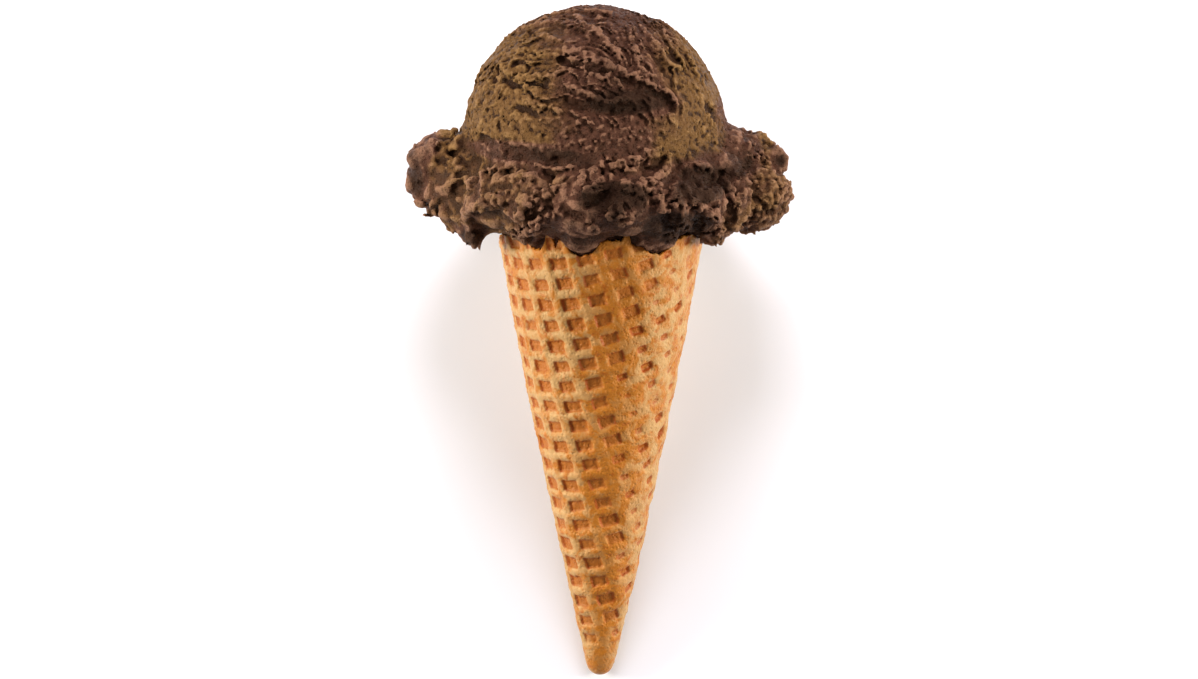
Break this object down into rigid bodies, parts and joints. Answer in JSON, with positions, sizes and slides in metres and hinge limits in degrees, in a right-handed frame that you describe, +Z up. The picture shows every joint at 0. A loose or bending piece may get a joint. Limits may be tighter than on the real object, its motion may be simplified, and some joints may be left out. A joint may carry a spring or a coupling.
{
  "type": "ice cream cone",
  "caption": "Rolled waffle-pattern wafer cone holding a rough scoop of chocolate ice cream with a ragged skirt over the rim, lying on its back.",
  "frame": {"origin": "under the middle of the whole object, on the surface it lies on", "axes": "+Y along the cone's length, from its nose towards the scoop; +Z up, the side meant to be seen; +X to the right when seen from the nose"},
  "size_m": [0.102, 0.1744, 0.0825],
  "materials": {
    "wafer": "golden baked wafer, matt, browned in the recesses of the waffle pattern",
    "ice_cream": "chocolate ice cream, rough and porous, with a faint damp sheen"
  },
  "bodies": {
    "root": {"cone": "wafer", "scoop": "ice_cream"}
  },
  "joints": []
}
